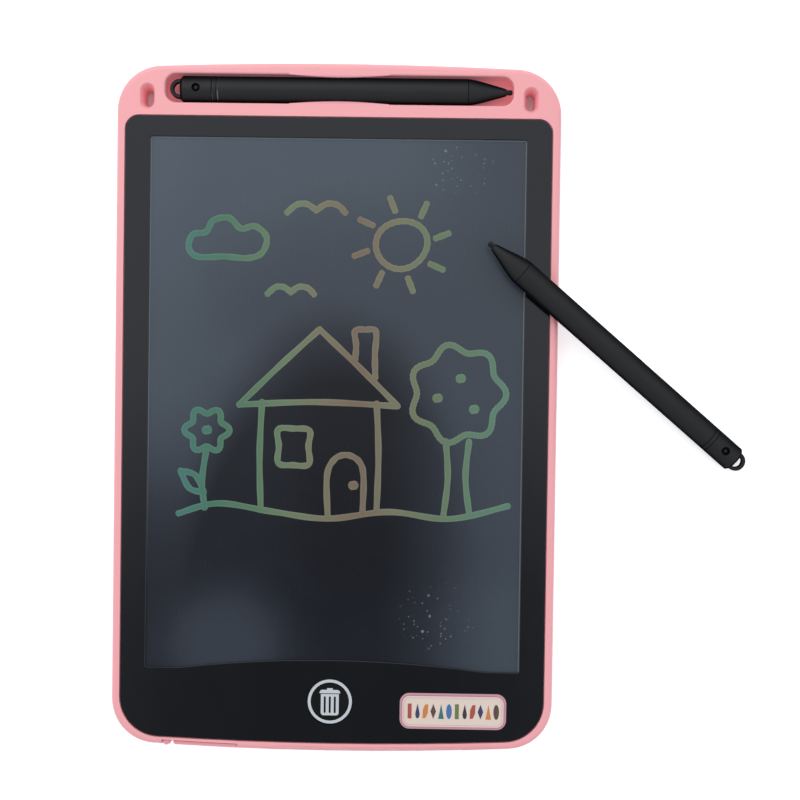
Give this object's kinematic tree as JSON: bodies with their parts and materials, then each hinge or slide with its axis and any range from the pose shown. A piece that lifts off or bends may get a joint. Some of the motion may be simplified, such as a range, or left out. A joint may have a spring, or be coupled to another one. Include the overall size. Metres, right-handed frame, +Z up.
{
  "type": "lcd writing tablet",
  "caption": "Slim pink writing tablet with a dark screen, round erase button, battery drawer, a stylus stowed in its top trough and a second stylus across its rim.",
  "frame": {"origin": "centre of the flat rear face", "axes": "+X across the screen to its right, +Y along the screen towards the stylus trough, +Z up out of the screen"},
  "size_m": [0.2077, 0.2254, 0.0162],
  "materials": {
    "pink_shell": "satin, fine moulded grain",
    "pink_trim": "satin, softer than the shell",
    "black_panel": "black gloss with fine wear",
    "clear_adhesive": "thin double-sided sheet",
    "writing_film": "dark film with a soft sheen",
    "crystal_layer": "thin liquid crystal layer",
    "black_film": "matt black",
    "backing_plastic": "matt grey sheet",
    "flex_tail": "amber film",
    "circuit_board": "green solder mask",
    "screw_steel": "zinc plated",
    "switch_plastic": "black",
    "switch_metal": "stamped plate",
    "button_black": "black, lightly satin",
    "print_grey": "pale grey inlay",
    "chip_black": "moulded black",
    "ferrite": "sintered dark grey",
    "ceramic": "tan ceramic with tinned ends",
    "resistor_body": "glazed black with tinned ends",
    "contact_metal": "nickel plated spring strip",
    "cell_steel": "nickel plated steel",
    "gasket_black": "dark moulded ring",
    "badge_cream": "cream plate",
    "stylus_black": "dark grey, satin",
    "nib_black": "hard nylon, matt"
  },
  "bodies": {
    "case": {"front_frame": "pink_shell", "rear_cover": "pink_shell", "stylus_grip_lips": "pink_trim", "bezel_panel": "black_panel", "bezel_adhesive": "clear_adhesive", "lcd_front_film": "writing_film", "lcd_crystal_layer": "crystal_layer", "lcd_back_film": "black_film", "backing_board": "backing_plastic", "lcd_flex_tail": "flex_tail", "main_board": "circuit_board", "board_screws": "screw_steel", "tact_switch_housing": "switch_plastic", "tact_switch_cover": "switch_metal", "tact_switch_dome": "switch_metal", "boost_chip": "chip_black", "power_inductor": "ferrite", "ceramic_capacitors": "ceramic", "chip_resistors": "resistor_body", "badge_frame": "pink_trim", "badge_plate": "badge_cream", "battery_contact_negative": "contact_metal", "battery_contact_positive": "contact_metal", "lock_switch_body": "switch_metal"},
    "erase_button": {"erase_button_cap": "button_black", "erase_button_ring": "print_grey", "erase_icon": "print_grey", "tact_switch_plunger": "switch_plastic"},
    "battery_drawer": {"battery_tray": "pink_trim", "coin_cell_can": "cell_steel", "coin_cell_gasket": "gasket_black", "coin_cell_cap": "cell_steel"},
    "drawer_latch": {"battery_latch": "pink_trim"},
    "erase_lock": {"lock_slider": "switch_plastic", "lock_switch_lever": "switch_plastic"},
    "stowed_stylus": {"stowed_stylus_nib": "nib_black", "stowed_stylus_nose": "stylus_black", "stowed_stylus_barrel": "stylus_black", "stowed_stylus_end_cap": "stylus_black"},
    "loose_stylus": {"loose_stylus_nib": "nib_black", "loose_stylus_nose": "stylus_black", "loose_stylus_barrel": "stylus_black", "loose_stylus_end_cap": "stylus_black"}
  },
  "joints": [
    {"name": "erase_press", "type": "slide", "parent": "case", "child": "erase_button", "axis": [0, 0, -1], "range_m": [0, 0.0003], "stiffness_N_per_m": 3000, "deforming": ["tact_switch_dome"]},
    {"name": "drawer_pull", "type": "slide", "parent": "case", "child": "battery_drawer", "axis": [0, -1, 0], "range_m": [0, 0.026]},
    {"name": "latch_squeeze", "type": "hinge", "parent": "battery_drawer", "child": "drawer_latch", "pos_m": [-0.0533, -0.09788, 0.0027], "axis": [0, 0, 1], "range_deg": [0, 3.5], "stiffness_Nm_per_rad": 0.6},
    {"name": "lock_slide", "type": "slide", "parent": "case", "child": "erase_lock", "axis": [1, 0, 0], "range_m": [0, 0.002]},
    {"name": "stowed_stylus_lift", "type": "slide", "parent": "case", "child": "stowed_stylus", "axis": [0, 0, 1], "range_m": [0, 0.016], "deforming": ["stylus_grip_lips"]},
    {"name": "loose_stylus_lift", "type": "slide", "parent": "case", "child": "loose_stylus", "axis": [0, 0, 1], "range_m": [0, 0.04]}
  ]
}
